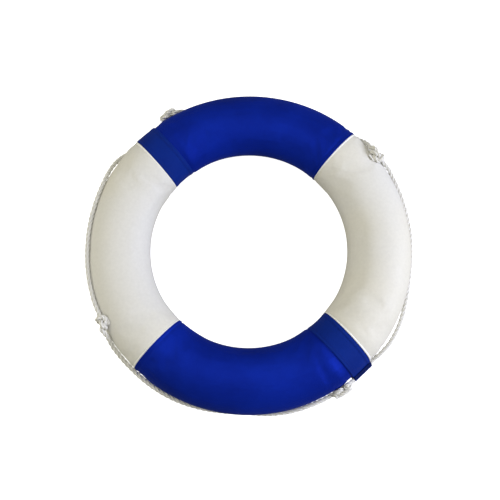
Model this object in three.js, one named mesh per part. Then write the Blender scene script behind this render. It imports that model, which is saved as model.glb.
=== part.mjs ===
// Ring lifebuoy: a foam ring in a sewn four-panel cover, two wrap-round straps and a
// knotted grab line. Millimetres, +Z up, the ring lies flat with its base at z = 0.
import * as THREE from 'three';

// Ring
const RING_OUTER_DIAMETER = 720;
const RING_HOLE_DIAMETER = 440;
const RING_THICKNESS = 110;
const SECTION_SIDES = 20; // facets round the tube's section
const RING_STEP = 6; // degrees between the ring's stations
const FIRST_SEAM_ANGLE = 47.25; // degrees; the four seams are a quarter turn apart

// Layers, as depths inward from the ring's nominal surface
const COVER_THICKNESS = 1.2;
const CORE_GAP = 0.4;
const CORE_SPLIT_GAP = 0.3;
const SEAM_GAP_ANGLE = 0.08; // degrees between neighbouring cover panels

// Straps
const STRAP_WIDTH = 50;
const STRAP_THICKNESS = 1.2;
const STRAP_PINCH = 2.0; // how far a tight strap presses the cover and foam in
const STRAP_GAP = 0.6;
const STRAP_ANGLES = { left: 132.1, right: 312.1 };
const STRAP_ROWS = 4; // steps across the strap's width
const PINCH_BEFORE = 7.5; // degrees of pinched cover before a strap's middle
const PINCH_AFTER = 8.5; // and after it
const PINCH_END = 8.15; // extra ring station just past a strap

// Grab line
const ROPE_DIAMETER = 10;
const ROPE_SIDES = 8;
const ROPE_STEP = 20; // length of a rope facet
const STRAP_ROPE_CLEARANCE = 1.6;

// Knots and beckets
const KNOT_LENGTH = 42;
const KNOT_WIDTH = 30; // along the ring's section
const KNOT_DEPTH = 20; // away from the ring
const KNOT_END = 0.55; // the end faces' size beside the middle
const KNOT_SIDES = 12;
const BECKET_WIDTH = 20;
const BECKET_THICKNESS = 1.6;
const BECKET_GAP = 0.7;

const MIDDLE_RADIUS = (RING_OUTER_DIAMETER + RING_HOLE_DIAMETER) / 4;
const HALF_WIDTH = (RING_OUTER_DIAMETER - RING_HOLE_DIAMETER) / 4;
const HALF_HEIGHT = RING_THICKNESS / 2;
const MIDDLE_HEIGHT = HALF_HEIGHT;

const BLUE = new THREE.MeshStandardMaterial({ color: 0x0f2391, roughness: 0.75, metalness: 0 });
const WHITE = new THREE.MeshStandardMaterial({ color: 0xe6e2dc, roughness: 0.55, metalness: 0 });
const FOAM = new THREE.MeshStandardMaterial({ color: 0xf2efe2, roughness: 0.9, metalness: 0 });
const WEBBING = new THREE.MeshStandardMaterial({ color: 0xe9e6de, roughness: 0.8, metalness: 0 });
const BLUE_WEBBING = new THREE.MeshStandardMaterial({ color: 0x0f2391, roughness: 0.8, metalness: 0 });
const ROPE = new THREE.MeshStandardMaterial({ color: 0xdedbd4, roughness: 0.7, metalness: 0 });

// The knots, with the section angle and stand-off of each one's middle, and the section
// angles that its becket runs between
const KNOTS = [
  { angle: 35.5, slope: 32, standOff: 14, look: WEBBING, becket: [-30, 48] },
  { angle: 119.8, slope: -10, standOff: 14, look: BLUE_WEBBING, becket: [-56, -5] },
  { angle: 208.8, slope: 33, standOff: 14, look: WEBBING, becket: [-30, 48] },
  { angle: 302, slope: 0, standOff: 14, look: BLUE_WEBBING, becket: [-56, -5] },
];

// The rope's route between knots: angle round the ring, section angle (0 is the ring's
// outermost line, positive is above it), and the distance of the rope's middle from the ring
const SPANS = {
  grab_line_top: [
    [39.2, 22, 12], [41, 12, 8.8], [43, 1, 6.9], [46, -9, 6.4], [50, -16, 6.4], [55, -21, 6.4],
    [61, -25, 6.4], [68, -27, 6.4], [75, -29, 6.4], [82, -30, 6.4], [89, -29, 6.4],
    [96, -28, 6.4], [102, -26, 6.4], [107, -23, 6.4], [111.5, -19, 6.8], [116, -13, 11.5],
  ],
  grab_line_left: [
    [123.6, -14, 11.5], [125, -19, 7.2], [127.5, -22, 5.6], [132.1, -22, 5.6], [136.7, -22, 5.6],
    [139.8, -16, 6.4], [143.5, -3, 6.4], [147.5, 10, 6.4], [152, 22, 6.4], [157, 29, 6.4],
    [163, 32, 6.4], [169, 33, 6.4], [175, 34, 6.4], [181, 34, 6.4], [188, 33, 6.4],
    [194, 33, 6.4], [199, 33, 6.5], [202.2, 33, 8.2], [205, 33, 12],
  ],
  grab_line_bottom: [
    [212.4, 26, 12], [214.6, 18, 8.6], [217.5, 11, 6.8], [221, 5, 6.4], [225, 1, 6.4],
    [231, 0, 6.4], [237, -1, 6.4], [243, -5, 6.4], [249, -11, 6.4], [255, -17, 6.4],
    [261, -22, 6.4], [268, -25, 6.4], [274, -20, 6.4], [279, -13, 6.4], [284, -7, 6.4],
    [289, -3, 6.4], [293.5, -1, 6.4], [296, 0, 8.2], [298.2, 0, 12],
  ],
  grab_line_right: [
    [305.7, -6, 8.8], [307.4, -9.5, 6.2], [309.6, -10, 5.6], [312.1, -10, 5.6],
    [314.6, -10, 5.6], [317, -9.5, 6.4], [320.5, -5, 9.2], [325, -1, 11.4], [330, 0, 11.4],
    [335, -1, 9.6], [340.5, -4, 7], [346, -10, 6.4], [352, -12, 6.4], [358, -10, 6.4],
    [5, -6, 6.4], [11, -5, 6.4], [17, -1, 6.4], [23, 3, 6.4], [27.5, 9, 6.6],
    [29.8, 16, 8.4], [31.7, 24, 12],
  ],
};
const STRAP_ROPE = { left: [-22, 5.6], right: [-10, 5.6] }; // the rope's place under each strap
const FLAP = { left: [-70, -36], right: [5, 38] }; // section angles of each strap's overlap

const radians = (degrees) => THREE.MathUtils.degToRad(degrees);

// A point of the ring's section at an angle, moved out by a stand-off: [radius, height]
function sectionPoint(slope, standOff) {
  const [c, s] = [Math.cos(radians(slope)), Math.sin(radians(slope))];
  const normal = new THREE.Vector2(c / HALF_WIDTH, s / HALF_HEIGHT).normalize();
  return [
    MIDDLE_RADIUS + HALF_WIDTH * c + normal.x * standOff,
    MIDDLE_HEIGHT + HALF_HEIGHT * s + normal.y * standOff,
  ];
}

// The section angle of a point [radius, height], in degrees
function sectionAngle([radius, height]) {
  return THREE.MathUtils.radToDeg(Math.atan2(
    (height - MIDDLE_HEIGHT) / HALF_HEIGHT,
    (radius - MIDDLE_RADIUS) / HALF_WIDTH,
  ));
}

function ringPoint(angle, slope, standOff) {
  const [radius, height] = sectionPoint(slope, standOff);
  const turn = radians(angle);
  return new THREE.Vector3(radius * Math.cos(turn), radius * Math.sin(turn), height);
}

// The corners of the faceted section at a depth under the nominal surface; its flats touch
// the true ellipse, so the lowest facet is a level face
function sectionCorners(depth) {
  const grow = 1 / Math.cos(Math.PI / SECTION_SIDES);
  const corners = [];
  for (let i = 0; i < SECTION_SIDES; i += 1) {
    const turn = ((i + 0.5) * 2 * Math.PI) / SECTION_SIDES;
    corners.push([
      MIDDLE_RADIUS + (HALF_WIDTH - depth) * grow * Math.cos(turn),
      MIDDLE_HEIGHT + (HALF_HEIGHT - depth) * grow * Math.sin(turn),
    ]);
  }
  return corners;
}

function meshOf(points, index) {
  const geometry = new THREE.BufferGeometry().setFromPoints(points);
  geometry.setIndex(index);
  geometry.computeVertexNormals();
  return geometry;
}

// A closed solid between two grids of points, outer[row][column] and inner[row][column].
// The columns may join up with themselves; every edge that doesn't gets a closing wall.
function thickSheet(outer, inner, joinColumns = false) {
  const rows = outer.length;
  const columns = outer[0].length;
  const outerAt = (r, c) => r * columns + (c % columns);
  const innerAt = (r, c) => rows * columns + outerAt(r, c);
  const index = [];
  const quad = (a, b, c, d) => index.push(a, b, c, a, c, d);
  const lastRow = rows - 1;
  const lastColumn = joinColumns ? columns : columns - 1;
  for (let r = 0; r < lastRow; r += 1) {
    for (let c = 0; c < lastColumn; c += 1) {
      quad(outerAt(r, c), outerAt(r + 1, c), outerAt(r + 1, c + 1), outerAt(r, c + 1));
      quad(innerAt(r, c), innerAt(r, c + 1), innerAt(r + 1, c + 1), innerAt(r + 1, c));
    }
  }
  for (let c = 0; c < lastColumn; c += 1) {
    quad(outerAt(0, c), outerAt(0, c + 1), innerAt(0, c + 1), innerAt(0, c));
    quad(outerAt(lastRow, c), innerAt(lastRow, c), innerAt(lastRow, c + 1), outerAt(lastRow, c + 1));
  }
  for (let r = 0; r < lastRow && !joinColumns; r += 1) {
    const end = columns - 1;
    quad(outerAt(r, 0), innerAt(r, 0), innerAt(r + 1, 0), outerAt(r + 1, 0));
    quad(outerAt(r, end), outerAt(r + 1, end), innerAt(r + 1, end), innerAt(r, end));
  }
  return meshOf([...outer.flat(), ...inner.flat()], index);
}

// Stations round the ring between two angles: every RING_STEP from the first seam, with one
// more just past each strap
function stations(from, to) {
  const angles = [];
  for (let a = FIRST_SEAM_ANGLE; a < FIRST_SEAM_ANGLE + 720; a += RING_STEP) angles.push(a);
  Object.values(STRAP_ANGLES).forEach((a) => angles.push(a + PINCH_END, a + 360 + PINCH_END));
  return angles.filter((a) => a >= from && a <= to).sort((a, b) => a - b);
}

function pinchAt(angle) {
  const tight = Object.values(STRAP_ANGLES).some((middle) => {
    const away = ((((angle - middle) % 360) + 540) % 360) - 180;
    return away >= -PINCH_BEFORE && away <= PINCH_AFTER;
  });
  return tight ? STRAP_PINCH : 0;
}

function turned([radius, height], angle) {
  const turn = radians(angle);
  return new THREE.Vector3(radius * Math.cos(turn), radius * Math.sin(turn), height);
}

function coverPanel(from, to) {
  const angles = stations(from, to);
  angles[0] += SEAM_GAP_ANGLE / 2;
  angles[angles.length - 1] -= SEAM_GAP_ANGLE / 2;
  const layer = (depth) => angles.map((a) => (
    sectionCorners(depth + pinchAt(a)).map((corner) => turned(corner, a))
  ));
  return thickSheet(layer(0), layer(COVER_THICKNESS), true);
}

// Half of the foam ring: the half section, flat where the halves are glued, turned round
function coreHalf(side) {
  const glueHeight = MIDDLE_HEIGHT + (side * CORE_SPLIT_GAP) / 2;
  const rows = stations(FIRST_SEAM_ANGLE, FIRST_SEAM_ANGLE + 359.9).map((a) => {
    const depth = COVER_THICKNESS + CORE_GAP + pinchAt(a);
    const reach = (HALF_WIDTH - depth) * side;
    const half = sectionCorners(depth).filter(([, height]) => (height - glueHeight) * side > 0);
    const ends = [[MIDDLE_RADIUS + reach, glueHeight], [MIDDLE_RADIUS - reach, glueHeight]];
    return [ends[0], ...half, ends[1]].map((corner) => turned(corner, a));
  });
  return loft(rows);
}

// A closed solid through outlines that go all the way round and join up again
function loft(rows) {
  const columns = rows[0].length;
  const at = (r, c) => (r % rows.length) * columns + (c % columns);
  const index = [];
  for (let r = 0; r < rows.length; r += 1) {
    for (let c = 0; c < columns; c += 1) {
      index.push(at(r, c), at(r + 1, c), at(r + 1, c + 1), at(r, c), at(r + 1, c + 1), at(r, c + 1));
    }
  }
  return meshOf(rows.flat(), index);
}

// The corners of a convex outline round a set of points, counter-clockwise
function hull(points) {
  const sorted = points.slice().sort((p, q) => p[0] - q[0] || p[1] - q[1]);
  const cross = (o, p, q) => (p[0] - o[0]) * (q[1] - o[1]) - (p[1] - o[1]) * (q[0] - o[0]);
  const chain = (list) => {
    const kept = [];
    list.forEach((p) => {
      while (kept.length > 1 && cross(kept.at(-2), kept.at(-1), p) <= 0.01) kept.pop();
      kept.push(p);
    });
    return kept.slice(0, -1);
  };
  return [...chain(sorted), ...chain(sorted.reverse())];
}

// The corner directions of a closed outline, scaled so that moving each corner by d times
// its direction moves every side out by d
function cornerDirections(outline) {
  const side = (i) => {
    const [p, q] = [outline.at(i % outline.length), outline[(i + 1) % outline.length]];
    return new THREE.Vector2(q[1] - p[1], p[0] - q[0]).normalize();
  };
  return outline.map((_, i) => {
    const [before, after] = [side(i - 1 + outline.length), side(i)];
    const sum = before.clone().add(after);
    return sum.multiplyScalar(1 / (1 + before.dot(after)));
  });
}

// A strap: one strip that goes round the ring's section, over the rope, and ends sewn down
// on its own start
function strap(side) {
  const ropePlace = sectionPoint(...STRAP_ROPE[side]);
  const ropeReach = ROPE_DIAMETER / 2 + STRAP_ROPE_CLEARANCE;
  const around = [];
  for (let i = 0; i < ROPE_SIDES; i += 1) {
    const turn = (i * 2 * Math.PI) / ROPE_SIDES;
    around.push([ropePlace[0] + ropeReach * Math.cos(turn), ropePlace[1] + ropeReach * Math.sin(turn)]);
  }
  const outline = hull([...sectionCorners(STRAP_PINCH - STRAP_GAP), ...around]);
  const directions = cornerDirections(outline);
  const [flapStart, flapEnd] = FLAP[side];
  const isFlap = (p) => sectionAngle(p) > flapStart && sectionAngle(p) < flapEnd;
  const flap = outline.filter(isFlap).length;
  const order = outline.map((p, i) => i);
  order.sort((i, j) => sectionAngle(outline[i]) - sectionAngle(outline[j]));
  const first = order.find((i) => isFlap(outline[i]));
  const path = [];
  for (let k = 0; k < outline.length + flap; k += 1) {
    const lift = k < outline.length ? 0 : STRAP_THICKNESS + 0.4;
    path.push({ i: (first + k) % outline.length, lift });
  }
  const layer = (height) => {
    const rows = [];
    for (let row = 0; row <= STRAP_ROWS; row += 1) {
      const across = STRAP_WIDTH * (row / STRAP_ROWS - 0.5);
      rows.push(path.map(({ i, lift }) => {
        const reach = outline[i][0] + directions[i].x * (lift + height);
        const z = outline[i][1] + directions[i].y * (lift + height);
        const along = Math.sqrt(reach * reach - across * across);
        return new THREE.Vector3(along, across, z)
          .applyAxisAngle(new THREE.Vector3(0, 0, 1), radians(STRAP_ANGLES[side]));
      }));
    }
    return rows;
  };
  return thickSheet(layer(STRAP_THICKNESS), layer(0));
}

// A becket: a webbing tab that lies on the cover from its sewn end down past the knot
function becket(angle, [bottom, top]) {
  const corners = sectionCorners(-BECKET_GAP);
  const covered = corners
    .map((corner, i) => ({ slope: sectionAngle(corner), i }))
    .filter(({ slope }) => slope > bottom && slope < top)
    .sort((p, q) => p.slope - q.slope);
  const layer = (height) => {
    const lifted = sectionCorners(-BECKET_GAP - height);
    return [-0.5, 0, 0.5].map((across) => covered.map(({ i }) => {
      const along = Math.sqrt(lifted[i][0] ** 2 - (across * BECKET_WIDTH) ** 2);
      return new THREE.Vector3(along, across * BECKET_WIDTH, lifted[i][1])
        .applyAxisAngle(new THREE.Vector3(0, 0, 1), radians(angle));
    }));
  };
  return thickSheet(layer(BECKET_THICKNESS), layer(0));
}

// A knot's plain outer shape: a barrel along the rope, flattened against the ring
function knot() {
  const end = KNOT_END / 2;
  const profile = [[0, -0.5], [end, -0.5], [0.5, -0.2], [0.5, 0.2], [end, 0.5], [0, 0.5]];
  const geometry = new THREE.LatheGeometry(profile.map((p) => new THREE.Vector2(...p)), KNOT_SIDES);
  return geometry.scale(KNOT_DEPTH, KNOT_LENGTH, KNOT_WIDTH);
}

function placeKnot(mesh, { angle, slope, standOff }) {
  const [radius, height] = sectionPoint(slope, standOff);
  const out = sectionPoint(slope, standOff + 1);
  mesh.position.copy(turned([radius, height], angle));
  const lean = Math.atan2(out[1] - height, out[0] - radius);
  mesh.rotation.set(0, -lean, radians(angle), 'ZYX');
}

function ropeSpan(route) {
  const curve = new THREE.CatmullRomCurve3(route.map((p) => ringPoint(...p)), false, 'centripetal');
  const section = new THREE.Shape();
  for (let i = 0; i < ROPE_SIDES; i += 1) {
    const turn = (i * 2 * Math.PI) / ROPE_SIDES;
    const corner = [(Math.cos(turn) * ROPE_DIAMETER) / 2, (Math.sin(turn) * ROPE_DIAMETER) / 2];
    if (i === 0) section.moveTo(...corner);
    else section.lineTo(...corner);
  }
  const steps = Math.round(curve.getLength() / ROPE_STEP);
  return new THREE.ExtrudeGeometry(section, { steps, extrudePath: curve, bevelEnabled: false });
}

const group = new THREE.Group();

function add(name, geometry, material) {
  const mesh = new THREE.Mesh(geometry, material);
  mesh.name = name;
  group.add(mesh);
  return mesh;
}

add('foam_core_upper', coreHalf(1), FOAM);
add('foam_core_lower', coreHalf(-1), FOAM);

const PANELS = [
  ['cover_blue_top', BLUE],
  ['cover_white_left', WHITE],
  ['cover_blue_bottom', BLUE],
  ['cover_white_right', WHITE],
];
PANELS.forEach(([name, material], i) => {
  const from = FIRST_SEAM_ANGLE + 90 * i;
  add(name, coverPanel(from, from + 90), material);
});

Object.keys(STRAP_ANGLES).forEach((side) => add(`strap_${side}`, strap(side), BLUE_WEBBING));

KNOTS.forEach((place, i) => {
  add(`becket_${i + 1}`, becket(place.angle, place.becket), place.look);
  placeKnot(add(`knot_${i + 1}`, knot(), ROPE), place);
});

Object.entries(SPANS).forEach(([name, route]) => add(name, ropeSpan(route), ROPE));

export default group;
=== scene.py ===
import math

import bpy
import numpy as np
from mathutils import Matrix, Vector


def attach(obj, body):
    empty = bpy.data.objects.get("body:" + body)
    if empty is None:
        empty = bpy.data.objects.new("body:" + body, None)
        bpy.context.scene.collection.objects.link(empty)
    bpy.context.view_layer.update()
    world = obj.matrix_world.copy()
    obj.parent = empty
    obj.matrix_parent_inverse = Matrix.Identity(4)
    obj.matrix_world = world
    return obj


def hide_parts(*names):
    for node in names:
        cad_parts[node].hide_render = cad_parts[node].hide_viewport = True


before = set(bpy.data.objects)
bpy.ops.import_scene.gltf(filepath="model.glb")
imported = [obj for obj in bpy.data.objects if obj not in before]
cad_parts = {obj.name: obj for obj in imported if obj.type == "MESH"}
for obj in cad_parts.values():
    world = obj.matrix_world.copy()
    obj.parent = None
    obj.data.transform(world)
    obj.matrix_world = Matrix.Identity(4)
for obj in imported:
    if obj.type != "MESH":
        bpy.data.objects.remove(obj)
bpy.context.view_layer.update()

# The ring, in metres: the same sizes as the CAD's
MIDDLE_RADIUS = 0.290
HALF_WIDTH = 0.070
HALF_HEIGHT = 0.055
FIRST_SEAM = 47.25  # degrees; the four seams are a quarter turn apart
COVER_THICKNESS = 0.0012
ABOVE_FLOOR = 0.0002  # the lowest that the covers' cloth lies
STRAP_WIDTH = 0.050
STRAP_THICKNESS = 0.0012
STRAP_ANGLES = {"left": 132.1, "right": 312.1}
STRAP_PINCH = 0.0020  # how far a strap draws the covers in
SEAM_FROM_STRAP = 5.15  # degrees from a strap's middle to the seam beside it
ROPE_LAY = 0.036  # one full turn of a strand
MEAN_SECTION_RADIUS = (HALF_WIDTH + HALF_HEIGHT) / 2
SECTION_LENGTH = math.pi * (3 * (HALF_WIDTH + HALF_HEIGHT) - math.sqrt(
    (3 * HALF_WIDTH + HALF_HEIGHT) * (HALF_WIDTH + 3 * HALF_HEIGHT)))

# The rope's route: angle round the ring, section angle (0 is the ring's outermost line,
# positive is above it), and the distance of the rope's middle from the ring in millimetres
SPANS = {
    "grab_line_top": [
        (39.2, 22, 12), (41, 12, 8.8), (43, 1, 6.9), (46, -9, 6.4), (50, -16, 6.4),
        (55, -21, 6.4), (61, -25, 6.4), (68, -27, 6.4), (75, -29, 6.4), (82, -30, 6.4),
        (89, -29, 6.4), (96, -28, 6.4), (102, -26, 6.4), (107, -23, 6.4), (111.5, -19, 6.8),
        (116, -13, 11.5)],
    "grab_line_left": [
        (123.6, -14, 11.5), (125, -19, 7.2), (127.5, -22, 5.6), (132.1, -22, 5.6),
        (136.7, -22, 5.6), (139.8, -16, 6.4), (143.5, -3, 6.4), (147.5, 10, 6.4),
        (152, 22, 6.4), (157, 29, 6.4), (163, 32, 6.4), (169, 33, 6.4), (175, 34, 6.4),
        (181, 34, 6.4), (188, 33, 6.4), (194, 33, 6.4), (199, 33, 6.5), (202.2, 33, 8.2),
        (205, 33, 12)],
    "grab_line_bottom": [
        (212.4, 26, 12), (214.6, 18, 8.6), (217.5, 11, 6.8), (221, 5, 6.4), (225, 1, 6.4),
        (231, 0, 6.4), (237, -1, 6.4), (243, -5, 6.4), (249, -11, 6.4), (255, -17, 6.4),
        (261, -22, 6.4), (268, -25, 6.4), (274, -20, 6.4), (279, -13, 6.4), (284, -7, 6.4),
        (289, -3, 6.4), (293.5, -1, 6.4), (296, 0, 8.2), (298.2, 0, 12)],
    "grab_line_right": [
        (305.7, -6, 8.8), (307.4, -9.5, 6.2), (309.6, -10, 5.6), (312.1, -10, 5.6),
        (314.6, -10, 5.6), (317, -9.5, 6.4), (320.5, -5, 9.2), (325, -1, 11.4), (330, 0, 11.4),
        (335, -1, 9.6), (340.5, -4, 7), (346, -10, 6.4), (352, -12, 6.4), (358, -10, 6.4),
        (5, -6, 6.4), (11, -5, 6.4), (17, -1, 6.4), (23, 3, 6.4), (27.5, 9, 6.6),
        (29.8, 16, 8.4), (31.7, 24, 12)],
}
ROPE_REST = 5.6  # millimetres from the ring to the rope's middle where it lies on the cloth
SETTLED_BY = 0.8  # millimetres closer than the route, which keeps clear of the cover


def section_point(slope, stand_off):
    """Radius and height of a point off the ring's section."""
    c, s = math.cos(math.radians(slope)), math.sin(math.radians(slope))
    normal = Vector((c / HALF_WIDTH, s / HALF_HEIGHT)).normalized()
    return (MIDDLE_RADIUS + HALF_WIDTH * c + normal.x * stand_off,
            HALF_HEIGHT + HALF_HEIGHT * s + normal.y * stand_off)


def ring_point(angle, slope, stand_off):
    """A point off the ring's surface, at an angle round the ring and a slope round its section."""
    radius, height = section_point(slope, stand_off)
    turn = math.radians(angle)
    return np.array((radius * math.cos(turn), radius * math.sin(turn), height))


def smooth_line(points, step):
    """A centripetal Catmull-Rom line through the points, at even steps."""
    p = np.array(points, float)
    p = np.vstack([2 * p[0] - p[1], p, 2 * p[-1] - p[-2]])
    out = []
    for i in range(1, len(p) - 2):
        a, b, c, d = p[i - 1:i + 3]
        t = np.cumsum([0] + [max(np.linalg.norm(q - r) ** 0.5, 1e-6)
                             for r, q in ((a, b), (b, c), (c, d))])
        for u in np.linspace(t[1], t[2], 24, endpoint=i == len(p) - 3):
            ab = (a * (t[1] - u) + b * (u - t[0])) / (t[1] - t[0])
            bc = (b * (t[2] - u) + c * (u - t[1])) / (t[2] - t[1])
            cd = (c * (t[3] - u) + d * (u - t[2])) / (t[3] - t[2])
            abc = (ab * (t[2] - u) + bc * (u - t[0])) / (t[2] - t[0])
            bcd = (bc * (t[3] - u) + cd * (u - t[1])) / (t[3] - t[1])
            out.append((abc * (t[2] - u) + bcd * (u - t[1])) / (t[2] - t[1]))
    return even_steps(np.array(out), step)


def lengths_along(line):
    """How far along a line each of its points is."""
    return np.concatenate([[0], np.cumsum(np.linalg.norm(np.diff(line, axis=0), axis=1))])


def even_steps(line, step):
    """The same line, as points at even steps."""
    along = lengths_along(line)
    at = np.linspace(0, along[-1], max(2, round(along[-1] / step) + 1))
    return np.stack([np.interp(at, along, line[:, k]) for k in range(3)], 1)


# ------------------------ camera
def make_camera(azimuth, elevation, distance, lens, aim_right, aim_down):
    """A camera that looks at the ring's middle, or at a place a little beside it."""
    camera = bpy.data.objects.new("camera", bpy.data.cameras.new("camera"))
    bpy.context.collection.objects.link(camera)
    camera.data.lens, camera.data.sensor_width = lens, 36
    azimuth, elevation = math.radians(azimuth), math.radians(elevation)
    away = Vector((math.cos(azimuth) * math.cos(elevation),
                   math.sin(azimuth) * math.cos(elevation), math.sin(elevation)))
    middle = Vector((0, 0, HALF_HEIGHT))
    place = middle + away * distance
    side = (-away).cross(Vector((0, 1, 0))).normalized()
    aim = middle + side * aim_right - side.cross(-away) * aim_down
    forward = (aim - place).normalized()
    side = forward.cross(Vector((0, 1, 0))).normalized()
    camera.matrix_world = Matrix.Translation(place) @ Matrix(
        (side, side.cross(forward), -forward)).transposed().to_4x4()
    bpy.context.scene.camera = camera


make_camera(azimuth=275.4, elevation=78.75, distance=1.236, lens=39.7,
            aim_right=0.0032, aim_down=0.0046)


# ------------------------ node helpers
class Nodes:
    """Builds a material's nodes from short expressions."""

    def __init__(self, name, roughness, **inputs):
        self.material = bpy.data.materials.new(name)
        self.material.use_nodes = True
        self.tree = self.material.node_tree
        self.shader = self.tree.nodes["Principled BSDF"]
        self.shader.inputs["Roughness"].default_value = roughness
        for key, value in inputs.items():
            self.shader.inputs[key.replace("_", " ")].default_value = value

    def node(self, kind, **settings):
        made = self.tree.nodes.new(kind)
        for key, value in settings.items():
            setattr(made, key, value)
        return made

    def put(self, value, socket):
        if isinstance(value, bpy.types.NodeSocket):
            self.tree.links.new(value, socket)
        else:
            socket.default_value = value

    def math(self, operation, *values):
        made = self.node("ShaderNodeMath", operation=operation)
        for value, socket in zip(values, made.inputs):
            self.put(value, socket)
        return made.outputs[0]

    def uv(self):
        split = self.node("ShaderNodeSeparateXYZ")
        self.put(self.node("ShaderNodeUVMap").outputs[0], split.inputs[0])
        return split.outputs[0], split.outputs[1]

    def place(self):
        return self.node("ShaderNodeTexCoord").outputs["Object"]

    def noise(self, scale, detail=2, vector=None):
        made = self.node("ShaderNodeTexNoise")
        self.put(vector or self.place(), made.inputs["Vector"])
        made.inputs["Scale"].default_value = scale
        made.inputs["Detail"].default_value = detail
        return made.outputs["Fac"]

    def streaks(self, across, along):
        """Noise drawn out along the ring."""
        x, y, z = self.node("ShaderNodeSeparateXYZ").outputs
        self.put(self.place(), x.node.inputs[0])
        radius = self.math("SQRT", self.math("ADD", self.math("MULTIPLY", x, x),
                                             self.math("MULTIPLY", y, y)))
        drawn = self.node("ShaderNodeCombineXYZ")
        self.put(self.math("MULTIPLY", radius, across), drawn.inputs[0])
        self.put(self.math("MULTIPLY", z, across), drawn.inputs[1])
        self.put(self.math("ADD", self.math("MULTIPLY", x, along),
                           self.math("MULTIPLY", y, along * 0.6)), drawn.inputs[2])
        return self.noise(1, 2, drawn.outputs[0])

    def span(self, value, low, high, to_low=0.0, to_high=1.0):
        made = self.node("ShaderNodeMapRange")
        for v, socket in zip((value, low, high, to_low, to_high), made.inputs):
            self.put(v, socket)
        return made.outputs[0]

    def mix(self, factor, a, b):
        made = self.node("ShaderNodeMix", data_type="RGBA")
        self.put(factor, made.inputs[0])
        self.put(a, made.inputs[6])
        self.put(b, made.inputs[7])
        return made.outputs[2]

    def set(self, name, value):
        self.put(value, self.shader.inputs[name])

    def bump(self, height, distance, strength=1.0):
        made = self.node("ShaderNodeBump")
        made.inputs["Distance"].default_value = distance
        made.inputs["Strength"].default_value = strength
        self.put(height, made.inputs["Height"])
        previous = self.shader.inputs["Normal"]
        if previous.is_linked:
            self.put(previous.links[0].from_socket, made.inputs["Normal"])
        self.put(made.outputs[0], previous)

    def weave(self, across, along):
        """Plain weave from the two cloth directions in metres, 0 to 1."""
        u, v = self.uv()
        warp = self.math("ABSOLUTE", self.math("SINE", self.math(
            "MULTIPLY", u, math.pi / across)))
        weft = self.math("ABSOLUTE", self.math("SINE", self.math(
            "MULTIPLY", v, math.pi / along)))
        over = self.math("MODULO", self.math("ADD", self.math(
            "FLOOR", self.math("DIVIDE", u, across)), self.math(
            "FLOOR", self.math("DIVIDE", v, along))), 2.0)
        over = self.math("ABSOLUTE", over)
        return self.math("ADD", self.math("MULTIPLY", warp, over), self.math(
            "MULTIPLY", weft, self.math("SUBTRACT", 1.0, over)))


def cloth_material(name, base, dark, roughness, gloss, weave_depth, tint=(1, 1, 1, 1), warm=None,
                   satin=0.0):
    """Plain-woven coated cloth; satin is the share of its light that shines in the dye's colour."""
    m = Nodes(name, roughness, Specular_IOR_Level=gloss, Specular_Tint=tint, Metallic=satin)
    broad = m.noise(9, 3)
    fine = m.noise(160, 3)
    colour = m.mix(m.span(broad, 0.35, 0.68), (*dark, 1), (*base, 1))
    if warm:
        colour = m.mix(m.span(m.noise(4.5, 2), 0.45, 0.75), colour, (*warm, 1))
    tone = m.span(fine, 0.3, 0.7, 0.97, 1.02)
    shade = m.node("ShaderNodeVectorMath", operation="SCALE")
    m.put(colour, shade.inputs[0])
    m.put(tone, shade.inputs["Scale"])
    m.set("Base Color", shade.outputs[0])
    m.set("Roughness", m.span(m.noise(40, 2), 0.3, 0.7, roughness - 0.05, roughness + 0.06))
    m.bump(m.noise(22, 2), 0.0010, 0.35)
    if satin:
        m.bump(m.streaks(55, 5), 0.0022, 0.6)
    m.bump(m.weave(0.0011, 0.0011), weave_depth)
    return m.material


BLUE = cloth_material("blue_cloth", (0.0045, 0.022, 0.35), (0.0035, 0.016, 0.26), 0.44, 0.05,
                      0.00010, tint=(0.4, 0.6, 1, 1), satin=0.35)
WHITE = cloth_material("white_cloth", (0.74, 0.73, 0.69), (0.73, 0.72, 0.68), 0.5, 0.20,
                       0.00005, warm=(0.74, 0.715, 0.62))
# A brighter copy of the white cloth for the piping: a painted highlight along the seams, on a real
# raised bead.
WHITE_PIPING_PAINTED_HIGHLIGHT = cloth_material("white_piping", (0.95, 0.95, 0.93), (0.90, 0.90, 0.88), 0.45, 0.25,
                              0.00005)
STRAP = cloth_material("blue_strap", (0.0035, 0.024, 0.255), (0.0030, 0.018, 0.20), 0.5, 0.08,
                       0.00016, tint=(0.5, 0.7, 1, 1))


def webbing_material(name, base, dark):
    m = Nodes(name, 0.75, Specular_IOR_Level=0.15)
    u, v = m.uv()
    rib = m.math("ABSOLUTE", m.math("SINE", m.math("MULTIPLY", v, math.pi / 0.0015)))
    herring = m.math("SINE", m.math("ADD", m.math("MULTIPLY", u, 2200.0), m.math(
        "MULTIPLY", m.math("PINGPONG", v, 0.0025), 2600.0)))
    height = m.math("ADD", rib, m.math("MULTIPLY", herring, 0.4))
    m.set("Base Color", m.mix(m.span(height, -0.2, 1.2), (*dark, 1), (*base, 1)))
    m.bump(m.noise(120, 3), 0.0004, 0.5)
    m.bump(height, 0.00025)
    return m.material


WHITE_WEBBING = webbing_material("white_webbing", (0.93, 0.92, 0.90), (0.84, 0.83, 0.80))
BLUE_WEBBING = webbing_material("blue_webbing", (0.004, 0.020, 0.24), (0.003, 0.011, 0.13))


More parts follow.
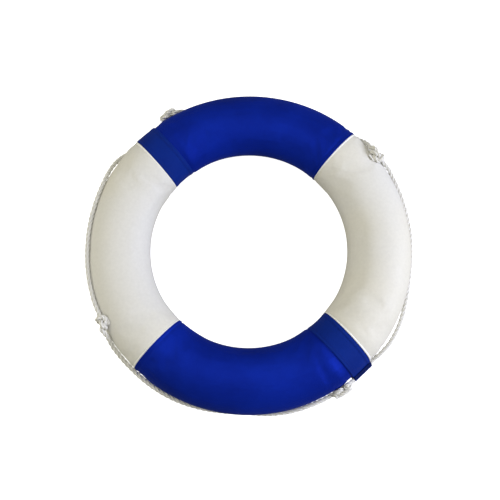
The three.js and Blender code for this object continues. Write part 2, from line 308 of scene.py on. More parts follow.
def rope_material():
    m = Nodes("rope", 0.55, Specular_IOR_Level=0.4)
    u, v = m.uv()
    yarn = m.math("SINE", m.math("ADD", m.math("MULTIPLY", u, 2 * math.pi / 0.0052),
                                 m.math("MULTIPLY", v, 2 * math.pi * 7)))
    fibre = m.noise(900, 2)
    height = m.math("ADD", yarn, m.math("MULTIPLY", fibre, 0.8))
    grime = m.span(m.noise(22, 3), 0.35, 0.7)
    colour = m.mix(m.span(height, -0.8, 1.4), (0.69, 0.68, 0.635, 1), (0.87, 0.86, 0.82, 1))
    m.set("Base Color", m.mix(m.math("MULTIPLY", grime, 0.2), colour, (0.72, 0.70, 0.63, 1)))
    m.bump(height, 0.00016)
    return m.material


def foam_material():
    m = Nodes("foam", 0.85)
    cells = m.node("ShaderNodeTexVoronoi", feature="SMOOTH_F1")
    m.put(m.place(), cells.inputs["Vector"])
    cells.inputs["Scale"].default_value = 420
    m.set("Base Color", m.mix(m.span(m.noise(30, 2), 0.3, 0.7), (0.80, 0.78, 0.70, 1),
                              (0.86, 0.845, 0.78, 1)))
    m.bump(cells.outputs["Distance"], 0.0006, 0.8)
    return m.material


def thread_material(name, base):
    m = Nodes(name, 0.7, Specular_IOR_Level=0.08)
    m.set("Base Color", m.mix(m.noise(300, 2), (*[c * 0.8 for c in base], 1), (*base, 1)))
    m.bump(m.noise(1500, 2), 0.0002)
    return m.material


ROPE = rope_material()
FOAM = foam_material()
WHITE_THREAD = thread_material("white_thread", (0.82, 0.81, 0.78))
BLUE_THREAD = thread_material("blue_thread", (0.004, 0.014, 0.16))


# ------------------------ shape helpers
def make_object(name, points, faces, material, uvs=None, smooth=True):
    """A mesh object in the scene; uvs holds one place for each corner of each face."""
    mesh = bpy.data.meshes.new(name)
    mesh.from_pydata([tuple(p) for p in points], [], faces)
    if uvs is not None:
        layer = mesh.uv_layers.new(name="UVMap")
        flat = np.array([uv for face in uvs for uv in face], np.float32).ravel()
        layer.data.foreach_set("uv", flat)
    mesh.materials.append(material)
    if smooth:
        mesh.shade_smooth()
    made = bpy.data.objects.new(name, mesh)
    bpy.context.collection.objects.link(made)
    return made


def tube(along, sides, across=0.0, base=0, closed=False, turned=False, capped=False):
    """Faces of a tube with a ring of points at each place along it, and their texture places.
    turned is for rings whose points run the other way round."""
    rings = len(along) - closed
    faces, uvs = [], []
    for i in range(len(along) - 1):
        for j in range(sides):
            spots = [(i, j), (i + 1, j), (i + 1, j + 1), (i, j + 1)]
            if turned:
                spots = spots[:1] + spots[:0:-1]
            faces.append([base + r % rings * sides + c % sides for r, c in spots])
            uvs.append([(along[r], c * across) for r, c in spots])
    if capped:
        ring = list(range(base, base + sides))
        faces += [ring[::-1], [(rings - 1) * sides + p for p in ring]]
        uvs += [[(0, 0)] * sides] * 2
    return faces, uvs


def frames_along(line, closed=False):
    """Two side directions, square to the line and to each other, that don't twist along it."""
    tangent = np.gradient(line, axis=0)
    if closed:
        tangent[0] = tangent[-1] = line[1] - line[-2]
    tangent /= np.linalg.norm(tangent, axis=1)[:, None]
    first = np.cross(tangent[0], (0, 0, 1.0))
    first /= np.linalg.norm(first)
    sides = [first]
    for t in tangent[1:]:
        s = sides[-1] - t * np.dot(sides[-1], t)
        sides.append(s / np.linalg.norm(s))
    sides = np.array(sides)
    return sides, np.cross(tangent, sides)


def fade(x, near, far):
    """1 up to near, 0 beyond far, smooth between."""
    t = np.clip((far - np.asarray(x, float)) / (far - near), 0, 1)
    return t * t * (3 - 2 * t)


def stand_off_and_normal(p):
    """First-order distance of points from the ring's surface, and the way out of it."""
    radius = np.hypot(p[:, 0], p[:, 1])
    x, z = radius - MIDDLE_RADIUS, p[:, 2] - HALF_HEIGHT
    g = np.sqrt((x / HALF_WIDTH) ** 2 + (z / HALF_HEIGHT) ** 2)
    nx, nz = x / HALF_WIDTH ** 2 / g, z / HALF_HEIGHT ** 2 / g
    size = np.hypot(nx, nz)
    out = np.stack([nx / size * p[:, 0] / radius, nx / size * p[:, 1] / radius, nz / size], 1)
    return (g - 1) / size, out


# ------------------------ grab line
def keep_spacing(line, spacing, smooth):
    """One pass that evens out the steps of a rope's line and its bends."""
    for parity in (0, 1):
        b = line[parity + 1::2]
        a = line[parity:-1:2][:len(b)]
        d = b - a
        size = np.linalg.norm(d, axis=1)[:, None]
        fix = d * (size - spacing) / size * 0.5
        line[parity:-1:2][:len(b)] += fix
        line[parity + 1::2][:len(a)] -= fix
    line[1:-1] += ((line[:-2] + line[2:]) / 2 - line[1:-1]) * np.reshape(smooth, (-1, 1))


def push_apart(line, i, j, thick):
    """Moves the points i and j of a line apart where they are closer than thick."""
    d = line[j] - line[i]
    size = np.linalg.norm(d, axis=1)
    close = size < thick
    push = (d[close] / size[close, None]) * (thick - size[close])[:, None] * 0.4
    np.add.at(line, j[close], push)
    np.add.at(line, i[close], -push)


KNOT_THICKNESS = 0.0094  # between the middles of touching turns, whose strands bed together


def tight_overhand(spare, thick=KNOT_THICKNESS, reach=0.055):
    """An overhand knot pulled tight along X from a loose one, with spare metres of rope in it."""
    t = np.linspace(-2.02, 2.02, 400)
    loose = np.stack([3 * t - t ** 3, t ** 4 - 4 * t ** 2 + 1.6, (t ** 5 - 10 * t) / 4.2], 1) * 0.0115
    line = even_steps(np.vstack([[(-reach, 0, 0)], loose[::-1], [(reach, 0, 0)]]), 0.0024)
    at_first = np.linalg.norm(line[1] - line[0])
    at_last = (2 * reach + spare) / (len(line) - 1)
    i, j = np.triu_indices(len(line), 1)
    rounds = 1000
    for r in range(rounds):
        now = at_first + (at_last - at_first) * min(1, r / (rounds * 0.75))
        for _ in range(4):
            keep_spacing(line, now, [0.10])
            line[0], line[-1] = (-reach, 0, 0), (reach, 0, 0)
            line[1], line[-2] = (-reach + now, 0, 0), (reach - now, 0, 0)
        far = (j - i) * now > thick * 1.6
        push_apart(line, i[far], j[far], thick)
    return line


SETTLE = 18  # points of each span's end that settle with its knot
KNOT_START = 0.0060  # the least distance from the ring to a knot's line as it is laid
KNOT_REST = 0.0062  # the same once it has settled


def seat_knot(knot, before, after, middle, roll, mirror, rounds=500, thick=KNOT_THICKNESS):
    """Lays a tight knot on the ring, lets it settle with the ends of the two spans and draws
    it up until its turns bear on each other."""
    x_axis = after[0] - before[-1]
    room = np.linalg.norm(x_axis)
    x_axis /= room
    out = stand_off_and_normal(middle[None])[1][0]
    y_axis = out - x_axis * np.dot(out, x_axis)
    y_axis /= np.linalg.norm(y_axis)
    z_axis = np.cross(x_axis, y_axis)
    inside = np.flatnonzero(np.abs(knot[:, 0]) < room / 2 - 0.001)
    part = knot[inside[0]:inside[-1] + 1] * (1, 1, mirror)
    c, s = math.cos(roll), math.sin(roll)
    part = np.stack([part[:, 0], part[:, 1] * c - part[:, 2] * s, part[:, 1] * s + part[:, 2] * c], 1)
    part = middle + part @ np.stack([x_axis, y_axis, z_axis])
    part += y_axis * (KNOT_START - stand_off_and_normal(part)[0].min())
    line = even_steps(np.vstack([before[-SETTLE:], part, after[:SETTLE]]), 0.0026)
    spacing = np.linalg.norm(line[1] - line[0])
    ends = line[:2].copy(), line[-2:].copy()
    i, j = np.triu_indices(len(line), 1)
    far = (j - i) * spacing > thick * 1.7
    i, j = i[far], j[far]
    inward = np.minimum(np.arange(len(line)), np.arange(len(line))[::-1]) * spacing
    straight = 0.10 + 0.50 * fade(inward, 0.020, 0.044)
    held = (1 - fade(inward, 0.006, 0.040))[:, None]
    for _ in range(rounds):
        closest = np.linalg.norm(line[j] - line[i], axis=1).min()
        spacing *= 1 + np.clip((thick * 0.92 - closest) * 2, -0.0015, 0.0015)
        for _ in range(4):
            keep_spacing(line, spacing, straight[1:-1])
            line[:2], line[-2:] = ends
        push_apart(line, i, j, thick)
        centre = (line * held).sum(0) / held.sum()
        line += held * (middle - centre) * 0.05
        gap, away = stand_off_and_normal(line)
        move = np.where(gap < KNOT_REST, np.clip(KNOT_REST - gap, 0, 0.003), -0.00025)
        line[2:-2] += (away * move[:, None])[2:-2]
    line = smooth_line(line, 0.0016)
    for _ in range(3):
        line[1:-1] += ((line[:-2] + line[2:]) / 2 - line[1:-1]) * 0.5
    near = SETTLE * 2
    start = np.argmin(np.linalg.norm(line[:near] - before[-1], axis=1))
    end = len(line) - near + np.argmin(np.linalg.norm(line[-near:] - after[0], axis=1))
    return (np.vstack([before[:-SETTLE], line[:start + 1]]), line[start:end + 1],
            np.vstack([line[end:], after[SETTLE:]]))


KNOT_STAND_OFF = 0.012  # from the ring to the place that a knot is centred on
KNOTS = {  # span that ends here, span that starts here, place, roll, handedness, spare rope
    "knot_1": ("grab_line_right", "grab_line_top", (35.5, 37), 0.9, 1, 0.088),
    "knot_2": ("grab_line_top", "grab_line_left", (120.3, 2), 3.0, 1, 0.088),
    "knot_3": ("grab_line_left", "grab_line_bottom", (208.8, 36), 0.9, 1, 0.088),
    "knot_4": ("grab_line_bottom", "grab_line_right", (302.8, 3), 3.0, -1, 0.088),
}
lines = {name: smooth_line([ring_point(a, s, max(ROPE_REST, d - SETTLED_BY) / 1000)
                            for a, s, d in route], 0.0016)
         for name, route in SPANS.items()}
tight = {spare: tight_overhand(spare) for spare in sorted({v[5] for v in KNOTS.values()})}
for name, (before, after, place, roll, mirror, spare) in KNOTS.items():
    lines[before], lines[name], lines[after] = seat_knot(
        tight[spare], lines[before], lines[after], ring_point(*place, KNOT_STAND_OFF), roll, mirror)

# One rope runs all the way round, so the twist carries on from piece to piece
ROPE_STEP = 0.0015
EASED_REST = 0.0057  # the least distance of the rope's line from the ring where it is eased
HELD = (("knot_2", "grab_line_left"), ("knot_4", "grab_line_right"))  # a strap is close by
ORDER = ("grab_line_top", "knot_2", "grab_line_left", "knot_3",
         "grab_line_bottom", "knot_4", "grab_line_right", "knot_1")


def freedom_along(before, name, after):
    """How free each point of a piece is to ease into a gentler bend, 0 to 1: most where a span
    leaves a knot."""
    near, far = (0.025, 0.040) if name in SPANS else (0.005, 0.014)
    reach = ROPE_STEP * np.arange(len(lines[name]) - 1)
    return np.maximum(fade(reach, near, far) * ((before, name) not in HELD),
                      fade(reach[-1] - reach, near, far) * ((name, after) not in HELD))


lines = {name: even_steps(lines[name], ROPE_STEP) for name in ORDER}
rope_line = np.vstack([lines[name][:-1] for name in ORDER])
freedom = np.concatenate([freedom_along(*names) for names in zip(
    ORDER[-1:] + ORDER[:-1], ORDER, ORDER[1:] + ORDER[:1])])[:, None]
for _ in range(60):
    between = (np.roll(rope_line, 1, 0) + np.roll(rope_line, -1, 0)) / 2
    rope_line += (between - rope_line) * 0.5 * freedom
    gap, away = stand_off_and_normal(rope_line)
    rope_line += away * np.clip(EASED_REST - gap, 0, 0.001)[:, None] * (freedom > 0)
rope_line = np.vstack([rope_line, rope_line[:1]])
rope_side, rope_up = frames_along(rope_line, closed=True)
rope_along = lengths_along(rope_line)
slip = math.atan2(np.dot(rope_side[-1], rope_up[0]), np.dot(rope_side[-1], rope_side[0]))
strand_turns = round(3 * rope_along[-1] / ROPE_LAY) * 2 * math.pi / 3 - slip
rope_turn = strand_turns * rope_along / rope_along[-1]


def rope_mesh(name, first, last, strand=0.00262, helix=0.00238, sides=12):
    """Three strands of one radius, twisted round part of the rope's line at another."""
    here = slice(first, last + 1)
    side, up, length = rope_side[here], rope_up[here], rope_along[here]
    points, faces, uvs = [], [], []
    for k in range(3):
        turn = rope_turn[here] + 2 * math.pi * k / 3
        middle = rope_line[here] + helix * (np.cos(turn)[:, None] * side
                                            + np.sin(turn)[:, None] * up)
        base = len(points)
        for i in range(len(turn)):
            for j in range(sides):
                a = turn[i] + 2 * math.pi * j / sides
                points.append(middle[i] + strand * (math.cos(a) * side[i] + math.sin(a) * up[i]))
        more = tube(length, sides, 1 / sides, base, turned=True, capped=True)
        faces += more[0]
        uvs += more[1]
    made = make_object(name, points, faces, ROPE, uvs)
    made.data.set_sharp_from_angle(angle=math.radians(60))
    return made


rope_pieces = {}
start = 0
for name in ORDER:
    end = start + len(lines[name]) - 1
    lines[name] = rope_line[start:end + 1]
    rope_pieces[name] = rope_mesh(name + "_rope", start, end)
    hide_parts(name)
    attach(rope_pieces[name], "root")
    start = end


# ------------------------ covers
STRAP_EDGE_GAP = 0.001  # from a strap's edge to the seam that follows it


def away_from(angle, middle):
    """Signed degrees from one angle round the ring to another."""
    return (np.asarray(angle) - middle + 180) % 360 - 180


def strap_press(angle, far=0.044):
    """How strongly a strap presses at an angle round the ring, 0 to 1. far is how many metres
    from the strap's middle the press ends."""
    reach = [np.abs(away_from(angle, middle)) * math.radians(MIDDLE_RADIUS)
             for middle in STRAP_ANGLES.values()]
    return fade(np.minimum(*reach), STRAP_WIDTH / 2 + STRAP_EDGE_GAP, far)


def along_strap(angle, slope):
    """Turns the seam beside each strap from straight across the ring to the strap's own edge."""
    radius = MIDDLE_RADIUS + HALF_WIDTH * np.cos(np.radians(slope))
    edge = np.degrees(np.arcsin((STRAP_WIDTH / 2 + STRAP_EDGE_GAP) / radius))
    spread = 7  # degrees over which the cloth beside the seam takes up the turn
    near = [np.exp(-(away_from(angle, middle + SEAM_FROM_STRAP) / spread) ** 2)
            for middle in STRAP_ANGLES.values()]
    return angle + (near[0] + near[1]) * (edge - SEAM_FROM_STRAP)


def ripple(value, seed):
    """A slow uneven wave, the same on each run."""
    return (np.sin(value + seed) + 0.6 * np.sin(1.73 * value + 2.1 * seed)
            + 0.4 * np.sin(2.9 * value - seed)) / 2


PANELS = {  # seam it starts at, look, whether its start edge is a hem that laps the next panel
    "cover_blue_top": (FIRST_SEAM, BLUE, True),
    "cover_white_left": (FIRST_SEAM + 90, WHITE, False),
    "cover_blue_bottom": (FIRST_SEAM + 180, BLUE, True),
    "cover_white_right": (FIRST_SEAM + 270, WHITE, False),
}
ROWS = 96
EDGE = (0, 0.0003, 0.0009, 0.0017, 0.0025, 0.0031, 0.0036, 0.0046, 0.0068, 0.0092, 0.0125, 0.0165)
UNDER_STRAP = STRAP_PINCH + 0.0002  # how far the cloth lies inside the ring's outline there
SEAM_DIP, SEAM_DIP_REACH = 0.0012, 0.005
PUCKER, PUCKER_REACH = 0.00035, 0.011
HEM, HEM_STEP = 0.0006, (0.0052, 0.0078)  # its height, and where its inner edge steps down
HEM_GROOVE, HEM_GROOVE_PLACE, HEM_GROOVE_REACH = 0.0007, 0.0085, 0.0022
PIPING, PIPING_HEIGHT = 0.0034, 0.0013  # the bead along both edges of the white covers, raised for real and coloured brighter than their cloth as a painted highlight
SEWN = 0.011  # how far from a cover's edges the cloth is held
PANEL_LENGTH = MIDDLE_RADIUS * math.pi / 2
COLUMNS = np.concatenate([EDGE, np.linspace(EDGE[-1], PANEL_LENGTH - EDGE[-1], 86)[1:-1],
                          PANEL_LENGTH - np.array(EDGE[::-1])])


def cover_lift(start, columns, slopes, hemmed):
    """The sewn shape: hem, seam dip, puckers, the strap's press and the piping, as a distance
    from the ring at each column and slope, with the angle round the ring of each."""
    u, v = np.meshgrid(columns, slopes, indexing="ij")
    angle = along_strap(start + np.degrees(u / MIDDLE_RADIUS), v)
    into = np.minimum(u, PANEL_LENGTH - u)
    section = np.radians(v) * MEAN_SECTION_RADIUS
    lift = -SEAM_DIP * np.exp(-(into / SEAM_DIP_REACH) ** 2)
    lift += PUCKER * ripple(section * 480, start) * np.exp(-(into / PUCKER_REACH) ** 2)
    if hemmed:
        hem = fade(u, *HEM_STEP)
        groove = HEM_GROOVE * np.exp(-((u - HEM_GROOVE_PLACE) / HEM_GROOVE_REACH) ** 2)
        lift = lift * (1 - hem) + HEM * hem - groove
    press = strap_press(angle) * (1 if hemmed else 0.4)  # only its edge meets a white cover
    lift = lift * (1 - press) - UNDER_STRAP * press
    if not hemmed:
        lift += PIPING_HEIGHT * np.sqrt(np.clip(1 - (2 * into / PIPING - 1) ** 2, 0, 1))
    return lift, angle


def cover_panel(name, start, look, hemmed):
    """One cover, a tube open at its two ends, and the points that its seams and strap hold."""
    slopes = np.arange(ROWS) * 360 / ROWS
    lift, angle = cover_lift(start, COLUMNS, slopes, hemmed)
    points = np.array([ring_point(angle[i, j], slope, lift[i, j])
                       for i in range(len(COLUMNS)) for j, slope in enumerate(slopes)])
    points[:, 2] = np.maximum(points[:, 2], ABOVE_FLOOR)
    faces, uvs = tube(COLUMNS, ROWS, SECTION_LENGTH / ROWS)
    piece = make_object(name + "_cloth", points, faces, look, uvs)
    into = np.minimum(COLUMNS, PANEL_LENGTH - COLUMNS)
    if not hemmed:
        # the piping faces take the brighter copy of the white cloth, a painted highlight
        piece.data.materials.append(WHITE_PIPING_PAINTED_HIGHLIGHT)
        edge = (into[:-1] + into[1:]) / 2 < PIPING
        piece.data.polygons.foreach_set("material_index", np.repeat(edge, ROWS).astype(np.int32))
    held = (into < SEWN)[:, None] | (strap_press(angle) > 0.5)
    return piece, np.flatnonzero(held.ravel())


covers = {name: cover_panel(name, *facts) for name, facts in PANELS.items()}


def inflate(pieces, pressure=4.0, slack=0.012, out_cap=0.0011, in_cap=0.0008, side_cap=0.0015):
    """Cloth simulation of sewn panels, held at their seams, with the result put on the meshes.
    The caps keep each point near the ring's outline: outward, inward and along it."""
    scene, last_frame = bpy.context.scene, 20
    rest = {}
    for piece, held in pieces:
        rest[piece.name] = np.array([v.co for v in piece.data.vertices])
        group = piece.vertex_groups.new(name="sewn")
        group.add(held.tolist(), 1.0, "REPLACE")
        cloth = piece.modifiers.new("cloth", "CLOTH")
        cloth.settings.quality = 5
        cloth.settings.mass = 0.25
        cloth.settings.tension_stiffness = cloth.settings.compression_stiffness = 18
        cloth.settings.shear_stiffness = 6
        cloth.settings.bending_stiffness = 0.6
        cloth.settings.use_pressure = True
        cloth.settings.uniform_pressure_force = pressure
        cloth.settings.effector_weights.gravity = 0
        cloth.settings.vertex_group_mass = "sewn"
        cloth.settings.shrink_min = -slack
        cloth.collision_settings.use_collision = False
        cloth.point_cache.frame_start, cloth.point_cache.frame_end = 1, last_frame
    for f in range(1, last_frame + 1):
        scene.frame_set(f)
    graph = bpy.context.evaluated_depsgraph_get()
    for piece, _ in pieces:
        solved = piece.evaluated_get(graph).to_mesh()
        after = np.array([v.co for v in solved.vertices])
        piece.evaluated_get(graph).to_mesh_clear()
        base = rest[piece.name]
        _, out = stand_off_and_normal(base)
        move = after - base
        outward = (move * out).sum(1)
        along = move - out * outward[:, None]
        size = np.linalg.norm(along, axis=1)
        along *= (np.minimum(size, side_cap) / np.maximum(size, 1e-9))[:, None]
        capped = np.where(outward > 0, out_cap * np.tanh(outward / out_cap),
                          -in_cap * np.tanh(-outward / in_cap))
        angle = np.degrees(np.arctan2(base[:, 1], base[:, 0]))
        calm = 1 - strap_press(angle, 0.075)  # smooth and full close beside the straps
        capped = capped * calm + 0.9 * out_cap * (1 - calm) * (1 - strap_press(angle))
        moved = base + along * calm[:, None] + out * capped[:, None]
        moved[:, 2] = np.maximum(moved[:, 2], ABOVE_FLOOR)
        piece.modifiers.clear()
        piece.vertex_groups.clear()
        piece.data.vertices.foreach_set("co", moved.astype(np.float32).ravel())
        piece.data.update()
    scene.frame_set(1)


inflate(list(covers.values()))
for name, (piece, _) in covers.items():
    shell = piece.modifiers.new("thickness", "SOLIDIFY")
    shell.thickness, shell.offset = COVER_THICKNESS, -1
    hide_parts(name)
    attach(piece, "root")


# ------------------------ foam core
FOAM_DEPTH = 0.0034  # of its surface under the ring's outline
FOAM_PINCH = 0.0022  # how much deeper it lies under a strap
GLUE = 0.0002  # half of the joint between the two halves


def foam_half(name, sign):
    """One half of the core, with sign 1 for the upper and -1 for the lower."""
    stations = np.arange(0, 360, 2.0)
    slopes = np.linspace(0, 180, 33) * sign
    points = []
    for a in stations:
        depth = FOAM_DEPTH + FOAM_PINCH * float(strap_press(a))
        for slope in slopes:
            p = ring_point(a, slope, -depth)
            p[2] = HALF_HEIGHT + sign * max(sign * (p[2] - HALF_HEIGHT), GLUE)
            points.append(p)
    faces, _ = tube([*stations, 360], len(slopes), closed=True, turned=sign < 0)
    piece = make_object(name + "_block", points, faces, FOAM)
    piece.data.set_sharp_from_angle(angle=math.radians(50))
    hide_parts(name)
    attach(piece, "root")


foam_half("foam_core_upper", 1)
foam_half("foam_core_lower", -1)


# ------------------------ straps
STRAP_ROUTES = {  # slopes of: the rope that it crosses, its start, the end of its lap
    "left": (-22, -64, -42),
    "right": (-10, -2, 15),
}
ROPE_BEND = 0.0056  # radius of a strap's bend over the rope, and the rope's middle from the ring
STRAP_DEPTH = 0.0014  # of a strap's inner face under the ring's outline
LAP_LIFT = 0.0016  # of the lap over the start of the strap


def hull(points):
    """The convex outline of points in a plane."""
    points = sorted(map(tuple, points))

    def chain(seq):
        kept = []
        for q in seq:
            while len(kept) > 1 and ((kept[-1][0] - kept[-2][0]) * (q[1] - kept[-2][1])
                                     - (kept[-1][1] - kept[-2][1]) * (q[0] - kept[-2][0])) <= 0:
                kept.pop()
            kept.append(q)
        return kept[:-1]

    return np.array(chain(points) + chain(points[::-1]))


def strap_path(side):
    """The strap's line round the section, (radius, height), the way out of it and its lift: the
    last stretch lies on the first. Then the lengths along it, and the length once round."""
    rope_slope, first, last = STRAP_ROUTES[side]
    rope = np.array(section_point(rope_slope, ROPE_BEND))
    ellipse = [section_point(a, -STRAP_DEPTH) for a in np.arange(0, 360, 2)]
    circle = [rope + ROPE_BEND * np.array((math.cos(a), math.sin(a)))
              for a in np.linspace(0, 2 * math.pi, 48, endpoint=False)]
    outline = hull(ellipse + circle)
    closed = np.vstack([outline, outline[:1]])
    along = lengths_along(closed)
    total = along[-1]

    def at(length):
        length = np.mod(length, total)
        return np.stack([np.interp(length, along, closed[:, k]) for k in range(2)], -1)

    def soft(length):
        """A short average of the line round a place, which rounds its bends."""
        return sum(at(length + d) for d in np.linspace(-0.004, 0.004, 9)) / 9

    lengths = np.linspace(0, total, 400)
    place = soft(lengths)
    angles = np.degrees(np.arctan2((place[:, 1] - HALF_HEIGHT) / HALF_HEIGHT,
                                   (place[:, 0] - MIDDLE_RADIUS) / HALF_WIDTH))
    start = lengths[np.argmin(np.abs(angles - first))]
    flap = lengths[np.argmin(np.abs(angles - last))] - start
    way = 1 if flap > 0 else -1
    flap = abs(flap)
    s = np.arange(0, total + flap, 0.0030)
    line = soft(start + way * s)
    tangent = soft(start + way * (s + 0.002)) - soft(start + way * (s - 0.002))
    tangent /= np.linalg.norm(tangent, axis=1)[:, None]
    out = np.stack([tangent[:, 1], -tangent[:, 0]], 1) * way
    lift = np.interp(s, [0, total - 0.014, total - 0.002, total + flap],
                     [0, 0, LAP_LIFT, LAP_LIFT])
    return line, out, lift, s, total


STRIP_EDGE = 0.0007  # how far in from a strip's edges they round off


def strip_object(name, middle, look, width, thickness, columns, turn, extra=None, narrow=None):
    """A flat strip laid along middle = (radius, height, out x, out y, lift) rows, square to a
    plane through the ring's axis, with rounded edges and real thickness."""
    points, faces, uvs = [], [], []
    count, wide = len(middle), len(columns)
    spin = np.array(((math.cos(turn), -math.sin(turn)), (math.sin(turn), math.cos(turn))))
    length = lengths_along(middle[:, :2])
    for layer in (1, 0):
        for i, (radius, height, ox, oz, lift) in enumerate(middle):
            for c in columns:
                across = width * c * (1 if narrow is None else narrow[i])
                edge = 1 - abs(c) * 2
                round_off = thickness * 0.42 * math.exp(-(edge * width / STRIP_EDGE))
                up = lift + (thickness - round_off if layer else round_off)
                up += extra(length[i], across) if extra else 0
                reach = radius + ox * up
                along = math.sqrt(reach * reach - across * across)
                x, y = spin @ np.array((along, across))
                points.append((x, y, height + oz * up))

    def quad(a, b, c, d, uv):
        faces.append((a, b, c, d))
        uvs.append(uv)

    half = count * wide
    for i in range(count - 1):
        for j in range(wide - 1):
            a, b = i * wide + j, (i + 1) * wide + j
            uv = [(length[i], columns[j] * width), (length[i], columns[j + 1] * width),
                  (length[i + 1], columns[j + 1] * width), (length[i + 1], columns[j] * width)]
            quad(a, a + 1, b + 1, b, uv)
            quad(half + a, half + b, half + b + 1, half + a + 1,
                 [uv[0], uv[3], uv[2], uv[1]])
        for j, flip in ((0, False), (wide - 1, True)):
            a, b = i * wide + j, (i + 1) * wide + j
            face = (a, b, half + b, half + a)
            uv = [(length[i], 0), (length[i + 1], 0), (length[i + 1], 0.001), (length[i], 0.001)]
            quad(*(face[::-1] if flip else face), uv)
    for i, flip in ((0, True), (count - 1, False)):
        for j in range(wide - 1):
            a = i * wide + j
            face = (a, a + 1, half + a + 1, half + a)
            quad(*(face[::-1] if flip else face),
                 [(0, columns[j] * width), (0, columns[j + 1] * width),
                  (0.001, columns[j + 1] * width), (0.001, columns[j] * width)])
    made = make_object(name, points, faces, look, uvs)
    made.data.validate()
    return made, np.array(points[:half]).reshape(count, wide, 3)


STRAP_COLUMNS = np.concatenate([[-0.5, -0.494, -0.485, -0.465, -0.43, -0.39, -0.35, -0.33],
                                np.linspace(-0.28, 0.28, 9),
                                [0.33, 0.35, 0.39, 0.43, 0.465, 0.485, 0.494, 0.5]])
STRAP_HEM, STRAP_HEM_STEP = 0.00045, (0.0070, 0.0084)
STRAP_WAVE = 0.00016


def hem_and_wear(length, across):
    """Doubled hems along a strap's edges, and slight unevenness of the cloth."""
    inward = STRAP_WIDTH / 2 - abs(across)
    hem = STRAP_HEM * float(fade(inward, *STRAP_HEM_STEP))
    wave = STRAP_WAVE * float(ripple(length * 95 + across * 60, 1.3))
    return hem + wave * min(1, inward / 0.004)


# A darker copy of the strap's own cloth for its lap: painted shade on the lap's steep outer face.
STRAP_LAP_PAINTED_SHADE = cloth_material("blue_strap_lap", (0.0015, 0.010, 0.10), (0.0012, 0.007, 0.075), 0.55,
                           0.06, 0.00016, tint=(0.5, 0.7, 1, 1))
strap_surfaces = {}  # outer faces as grids of points, for the stitches
for side, angle in STRAP_ANGLES.items():
    line, out, lift, s, total = strap_path(side)
    rows = np.column_stack([line, out, lift])
    piece, surface = strip_object("strap_" + side + "_cloth", rows, STRAP, STRAP_WIDTH,
                                  STRAP_THICKNESS, STRAP_COLUMNS, math.radians(angle),
                                  hem_and_wear)
    strap_surfaces[side] = surface
    # the lap's faces take the darker copy of the strap cloth, painted shade
    piece.data.materials.append(STRAP_LAP_PAINTED_SHADE)
    lap_start, count = np.searchsorted(s, total - 0.004), len(s) * len(STRAP_COLUMNS)
    for face in piece.data.polygons:
        if min(v % count for v in face.vertices) // len(STRAP_COLUMNS) >= lap_start:
            face.material_index = 1
    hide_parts("strap_" + side)
    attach(piece, "root")


# ------------------------ beckets
BECKET_WIDTH, BECKET_THICKNESS = 0.020, 0.0015
BECKET_STAND_OFF = 0.0010
BECKET_FOLD, BECKET_FOLD_STEP = 0.0013, (7, 11)  # the end is folded under, in metres and degrees
BECKET_END = (4, 3, 2.2, 1.5, 0.9, 0.4, 0.1, 0)  # slopes of the rounded end's rows below the top
BECKET_COLUMNS = [-0.5, -0.49, -0.46, -0.40, -0.25, 0, 0.25, 0.40, 0.46, 0.49, 0.5]
# Angle round the ring, lowest and highest slope, look, slot
BECKETS = {"becket_1": (35.5, -28, 53, WHITE_WEBBING, "white_webbing"),
           "becket_2": (119.8, -54, -9, BLUE_WEBBING, "blue_strap"),
           "becket_3": (208.8, -28, 49, WHITE_WEBBING, "white_webbing"),
           "becket_4": (302.0, -54, -9, BLUE_WEBBING, "blue_strap")}
becket_surfaces = {}
for name, (angle, bottom, top, look, slot) in BECKETS.items():
    slopes = np.concatenate([np.arange(bottom, top - 4.5, 2.0), top - np.array(BECKET_END)])
    rows = []
    for slope in slopes:
        radius, height = section_point(slope, BECKET_STAND_OFF)
        beyond = section_point(slope, BECKET_STAND_OFF + 1)
        fold = BECKET_FOLD * float(fade(top - slope, *BECKET_FOLD_STEP))
        rows.append((radius, height, beyond[0] - radius, beyond[1] - height, fold))
    corner = np.clip(1 - (top - slopes) / BECKET_END[0], 0, 1)
    piece, surface = strip_object(name + "_webbing", np.array(rows), look, BECKET_WIDTH,
                                  BECKET_THICKNESS, BECKET_COLUMNS, math.radians(angle),
                                  narrow=1 - 0.5 * (1 - np.sqrt(1 - corner ** 2)))
    becket_surfaces[name] = surface
    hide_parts(name)
    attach(piece, "root")


# ------------------------ stitches
def stitch_row(name, line, out, thread, length=0.0030, gap=0.0013, width=0.00032):
    """Small rounded stitches along a line on a surface, in one piece."""
    along = lengths_along(line)
    points, faces, sides = [], [], 6
    places, plumpness = (0.0, 0.15, 0.5, 0.85, 1.0), (0.35, 0.85, 1.0, 0.85, 0.35)
    for start in np.arange(gap / 2, along[-1] - length, length + gap):
        at = [np.array([np.interp(start + t * length, along, line[:, k]) for k in range(3)])
              for t in places]
        up = np.array([np.interp(start + length / 2, along, out[:, k]) for k in range(3)])
        up /= np.linalg.norm(up)
        way = at[-1] - at[0]
        way /= np.linalg.norm(way)
        side = np.cross(up, way)
        base = len(points)
        for t, plump, p in zip(places, plumpness, at):
            lift = width * (0.55 * math.sin(math.pi * t))
            for j in range(sides):
                a = j * 2 * math.pi / sides
                points.append(p + up * lift + plump * width * (
                    math.cos(a) * side * 1.15 + math.sin(a) * up))
        faces += tube(places, sides, base=base, turned=True, capped=True)[0]
    piece = make_object(name, points, faces, thread)
    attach(piece, "root")
    return piece


HEM_STITCHES, SEAM_STITCHES = 0.0032, 0.0052  # how far from a cover's edge each row runs


def stitches_on_cover(name, start, offset, hemmed, thread):
    """A row of stitches round the section beside the edge at which a cover starts."""
    slopes = np.arange(0, 361, 3.0)
    lift, angle = cover_lift(start, np.array([offset]), slopes, hemmed)
    line = np.array([ring_point(angle[0, j], slope, lift[0, j] + 0.0001)
                     for j, slope in enumerate(slopes)])
    line[:, 2] = np.maximum(line[:, 2], 0.0004)
    _, out = stand_off_and_normal(line)
    stitch_row(name, line, out, thread)


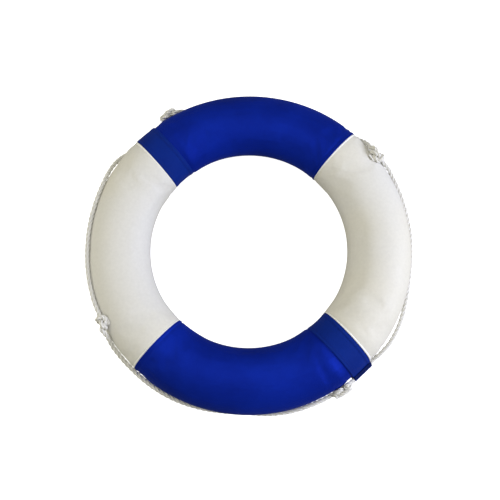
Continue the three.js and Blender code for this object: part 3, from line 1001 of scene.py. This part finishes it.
for side, turn in (("top", 0), ("bottom", 180)):
    stitches_on_cover("stitches_hem_" + side, FIRST_SEAM + turn, HEM_STITCHES, True,
                      BLUE_THREAD)
for side, turn in (("left", 90), ("right", 270)):
    stitches_on_cover("stitches_seam_" + side, FIRST_SEAM + turn, SEAM_STITCHES, False,
                      WHITE_THREAD)


def stitches_on_grid(name, surface, spots, thread):
    """Stitches along rows or columns of a strip's surface grid; spots are (row, column)."""
    line = np.array([surface[i, j] for i, j in spots])
    rows, columns = np.gradient(surface, axis=0), np.gradient(surface, axis=1)
    out = np.array([np.cross(columns[i, j], rows[i, j]) for i, j in spots])
    out /= np.linalg.norm(out, axis=1)[:, None]
    _, away = stand_off_and_normal(line)
    out *= np.sign((out * away).sum(1))[:, None]
    stitch_row(name, line + out * 0.00005, out, thread)


for side, surface in strap_surfaces.items():
    last = len(surface) - 1
    for word, column in (("low", 6), ("high", len(STRAP_COLUMNS) - 7)):
        stitches_on_grid(f"stitches_strap_{side}_{word}", surface,
                         [(i, column) for i in range(2, last - 1)], BLUE_THREAD)
    for word, back in (("end", 2), ("inner", 5)):
        stitches_on_grid(f"stitches_flap_{side}_{word}", surface,
                         [(last - back, j) for j in range(3, len(STRAP_COLUMNS) - 3)],
                         BLUE_THREAD)
for name, surface in becket_surfaces.items():
    top = surface.shape[0] - 1
    thread = WHITE_THREAD if BECKETS[name][3] is WHITE_WEBBING else BLUE_THREAD
    box = ([(i, 3) for i in range(top - 9, top)] + [(top - 1, j) for j in range(3, 8)]
           + [(i, 7) for i in range(top - 1, top - 10, -1)]
           + [(top - 9, j) for j in range(7, 2, -1)])
    stitches_on_grid("stitches_" + name, surface, box, thread)


# ------------------------ floor and light
FLOOR = -0.0004  # its height
FLOOR_HALF = 6
BACKDROP_RADIUS, BACKDROP_HEIGHT, BACKDROP_SIDES = 5.9, 5.0, 72

floor_look = Nodes("floor_white", 0.8)
floor_look.set("Base Color", floor_look.mix(floor_look.noise(3, 2), (0.90, 0.90, 0.90, 1),
                                            (0.92, 0.92, 0.92, 1)))
floor_look.set("Emission Color", (1, 1, 1, 1))
floor_look.set("Emission Strength", 0.95)
corners = [(x * FLOOR_HALF, y * FLOOR_HALF, FLOOR) for x, y in ((-1, -1), (1, -1), (1, 1), (-1, 1))]
floor = make_object("floor", corners, [(0, 1, 2, 3)], floor_look.material, smooth=False)
floor.visible_diffuse = floor.visible_glossy = False  # the object stands in even light

turns = [2 * math.pi * i / BACKDROP_SIDES for i in range(BACKDROP_SIDES)]
wall = [(BACKDROP_RADIUS * math.cos(a), BACKDROP_RADIUS * math.sin(a), z)
        for z in (FLOOR, BACKDROP_HEIGHT) for a in turns]
backdrop = make_object("backdrop", wall, [
    (i, (i + 1) % BACKDROP_SIDES, BACKDROP_SIDES + (i + 1) % BACKDROP_SIDES, BACKDROP_SIDES + i)
    for i in range(BACKDROP_SIDES)], floor_look.material)
backdrop.visible_diffuse = backdrop.visible_glossy = backdrop.visible_shadow = False

world = bpy.data.worlds.new("world")
bpy.context.scene.world = world
world.use_nodes = True
background = world.node_tree.nodes["Background"]
background.inputs["Color"].default_value = (1.0, 0.975, 0.83, 1)
background.inputs["Strength"].default_value = 0.31
bpy.context.scene.view_settings.view_transform = "Standard"


def area_light(name, place, target, size, power, colour):
    light = bpy.data.lights.new(name, "AREA")
    light.shape = "RECTANGLE"
    light.size, light.size_y = size
    light.energy = power
    light.color = colour
    made = bpy.data.objects.new(name, light)
    bpy.context.collection.objects.link(made)
    way = Vector(target) - Vector(place)
    made.matrix_world = Matrix.Translation(place) @ way.to_track_quat("-Z", "Y").to_matrix().to_4x4()
    return made


area_light("key", (2.6, -0.3, 1.3), (0, 0, 0.05), (1.4, 1.4), 75, (0.79, 0.82, 1.0))
area_light("top", (0.0, 0.3, 2.4), (0, 0, 0), (1.6, 1.6), 16, (1.0, 1.0, 0.99))
area_light("fill", (-2.4, 0.2, 1.3), (0, 0, 0.05), (3.0, 3.0), 27, (1.0, 0.955, 0.78))
